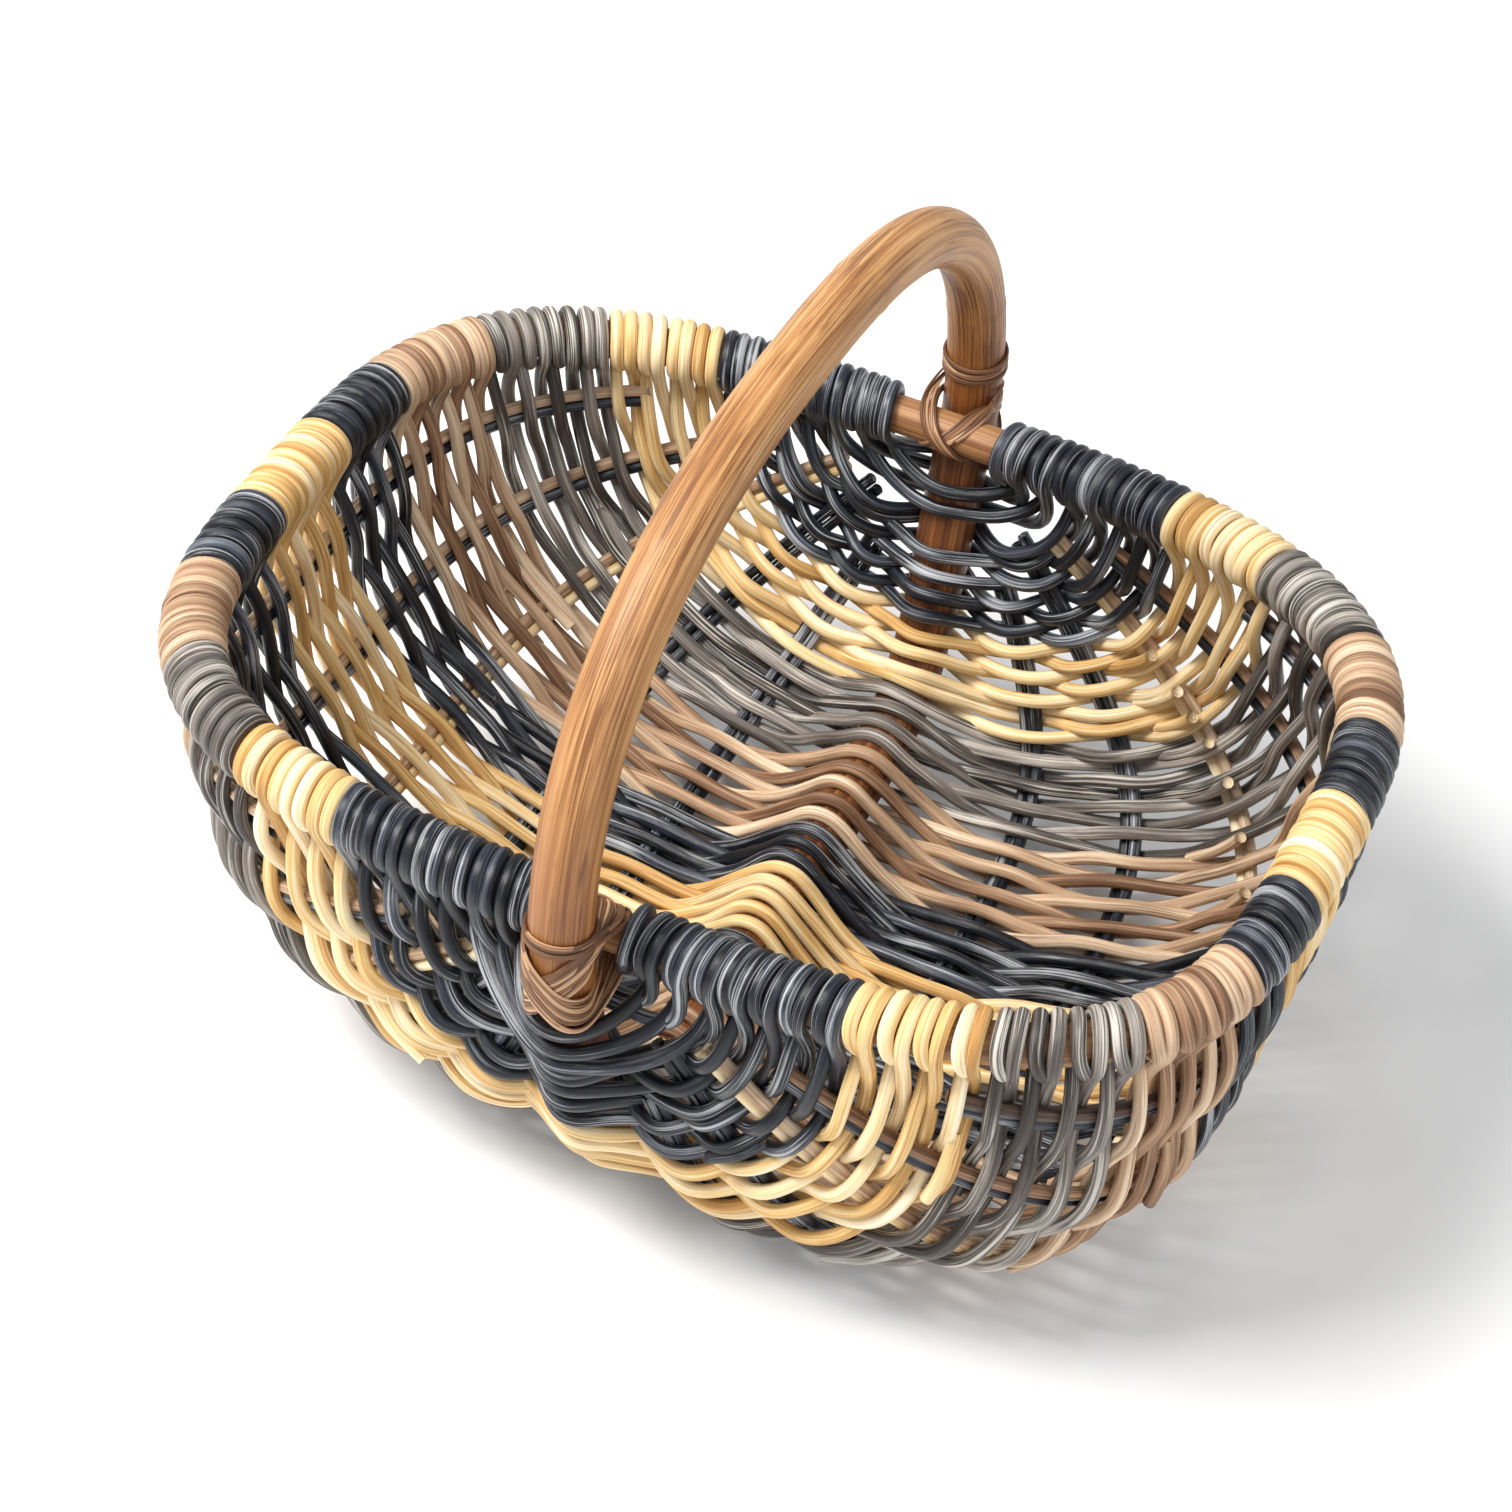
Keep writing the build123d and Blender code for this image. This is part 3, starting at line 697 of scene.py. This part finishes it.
tr = TRACKS[0]
q = tr.at(np.linspace(0, tr.length, 240))
P = np.vstack([q, (q * [-1, 1, 1])[::-1][1:-1]])
bu = Bundle()
bu.add(P, CORE_R, sides=20, closed=True, wobble=0.008)
ob = bu.build("rim_cane_core", [M["core"]])
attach(ob, "root"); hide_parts("rim_hoop")

# ---- lashing that ties the hoops ------------------------------------------
def sling(y_sign, lean, shift, grow, r):
    n = 72
    a = np.linspace(0, 2 * np.pi, n, endpoint=False)
    y_out, y_in = HANDLE_Y + HANDLE_R + 1.0 + grow, RIM_B - CORE_R - 1.0 - grow
    yc, hy = (y_out + y_in) / 2, (y_out - y_in) / 2
    al = math.radians(abs(lean))
    wide = (HANDLE_R + 0.9 + grow) / math.cos(al)
    slim = max((CORE_R + 1.2 + grow) / math.sin(al), 9.0)
    c, s_ = np.cos(a), np.sin(a)
    e = 2.6
    rad = 1.0 / (np.abs(c) ** e + np.abs(s_) ** e) ** (1 / e)
    yy = yc + hy * rad * s_
    half = slim + (wide - slim) * np.clip((yy - y_in) / (y_out - y_in) * 1.35, 0, 1)
    d = half * rad * c
    sg = math.copysign(1, lean)
    # neighbours lie side by side: up the handle on its outer face, along the rim on the inner one
    w = np.clip((yy - y_in) / (y_out - y_in) * 1.5 - 0.25, 0, 1)
    w = w * w * (3 - 2 * w)
    P = np.stack([d * math.cos(al) + shift * (1 - w) * sg * 0.75, -yy, RIM_Z + d * math.sin(al) * sg + (shift - 6.5) * w], -1)
    up = np.stack([rad * c * math.cos(al), -rad * s_, rad * c * math.sin(al) * sg], -1)
    P[:, 1] *= -y_sign
    up[:, 1] *= -y_sign
    return P, unit(up)


def coil(y_sign, above, grow=0.0):
    i = np.argmin(np.abs(up_pts[:, 2] - (RIM_Z + above)) + (np.sign(up_pts[:, 1]) != y_sign) * 1e6)
    c0 = up_pts[i]
    d = unit(up_pts[min(i + 1, len(up_pts) - 1)] - up_pts[i - 1])
    ex = np.array([1.0, 0, 0])
    ey = np.cross(d, ex)
    a = np.linspace(0, 2 * np.pi, 56, endpoint=False)[:, None]
    up = np.cos(a) * ex + np.sin(a) * ey
    wav = 0.35 * np.sin(a * 2 + above)
    return c0 + up * (HANDLE_R + 0.9 + grow) + d * wav, up


for y_sign, tag, count in ((-1, "front", 15), (1, "back", 7)):
    bu = Bundle()
    for i in range(count):
        sh = (i - (count - 1) / 2) * (1.3 if tag == "front" else 1.75)
        P, up = sling(y_sign, 45 + rng.uniform(-5, 5), sh + rng.uniform(-0.4, 0.4), 0.0, 1.0)
        bu.add(P, 1.0, sides=8, closed=True, flat=(0.55, 1.0), up=up, wobble=0.08)
        P, up = sling(y_sign, -45 + rng.uniform(-5, 5), sh + rng.uniform(-0.4, 0.4), 1.0, 1.0)
        bu.add(P, 1.0, sides=8, closed=True, flat=(0.55, 1.0), up=up, wobble=0.08)
    ob = bu.build("lashing_cross_strips_" + tag, [M["split"]])
    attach(ob, "root"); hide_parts("lashing_cross_" + tag)
    bu = Bundle()
    for i in range(4 if tag == "back" else 3):
        P, up = coil(y_sign, (23.0 if tag == "back" else 15.0) + 2.7 * i)
        bu.add(P, 1.5, sides=8, closed=True, flat=(0.6, 0.95), up=up, wobble=0.05)
    ob = bu.build("lashing_coil_strips_" + tag, [M["split"]])
    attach(ob, "root"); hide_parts("lashing_coils_" + tag)

# ---- stage --------------------------------------------------------------
LO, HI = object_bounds()
floor_me = bpy.data.meshes.new("floor")
S = 8.0
floor_me.from_pydata([(-S, -S, 0), (S, -S, 0), (S, S, 0), (-S, S, 0)], [], [(0, 1, 2, 3)])
floor = bpy.data.objects.new("floor", floor_me)
floor.location.z = min(LO.z, 0.0) - 0.0002
bpy.context.scene.collection.objects.link(floor)
fm = bpy.data.materials.new("floor")
fm.use_nodes = True
fm.node_tree.nodes["Principled BSDF"].inputs["Base Color"].default_value = (0.86, 0.86, 0.86, 1)
fm.node_tree.nodes["Principled BSDF"].inputs["Roughness"].default_value = 0.9
floor_me.materials.append(fm)

world = bpy.data.worlds.new("studio")
world.use_nodes = True
world.node_tree.nodes["Background"].inputs["Color"].default_value = (0.93, 0.965, 1.0, 1)
world.node_tree.nodes["Background"].inputs["Strength"].default_value = 0.54
bpy.context.scene.world = world


def lamp(name, loc, size, power, tint, target=(0, 0, 0.15)):
    ld = bpy.data.lights.new(name, "AREA")
    ld.color = tint
    ld.shape = "SQUARE"; ld.size = size; ld.energy = power
    lo = bpy.data.objects.new(name, ld)
    lo.location = loc
    lo.rotation_euler = (Vector(target) - Vector(loc)).to_track_quat("-Z", "Y").to_euler()
    bpy.context.scene.collection.objects.link(lo)


lamp("key", (-1.1, -0.7, 2.2), 1.2, 90, (1.0, 0.975, 0.945))
lamp("fill", (1.8, -1.2, 1.6), 2.2, 22, (1.0, 0.99, 0.98))

cam_d = bpy.data.cameras.new("cam")
cam_d.sensor_width = 36.0
cam_d.lens = 92.8
cam_d.shift_x = -26.199 / 1512
cam_d.shift_y = -97.466 / 1512
cam = bpy.data.objects.new("cam", cam_d)
right_v = Vector((0.89666, 0.43988, 0.05002))
up_v = Vector((-0.33325, 0.59626, 0.73035))
fw_v = Vector((-0.29145, 0.67155, -0.68124))
from mathutils import Matrix
R = Matrix((right_v, up_v, -fw_v)).transposed()
K = 0.93
pos = Vector((509.205, -1173.307, 1190.235)) * K * MM + Vector((0, 0, RIM_Z * MM))
cam.matrix_world = Matrix.Translation(pos) @ R.to_4x4()
cam_d.clip_end = 50
bpy.context.scene.collection.objects.link(cam)
bpy.context.scene.camera = cam
bpy.context.scene.view_settings.view_transform = "Standard"
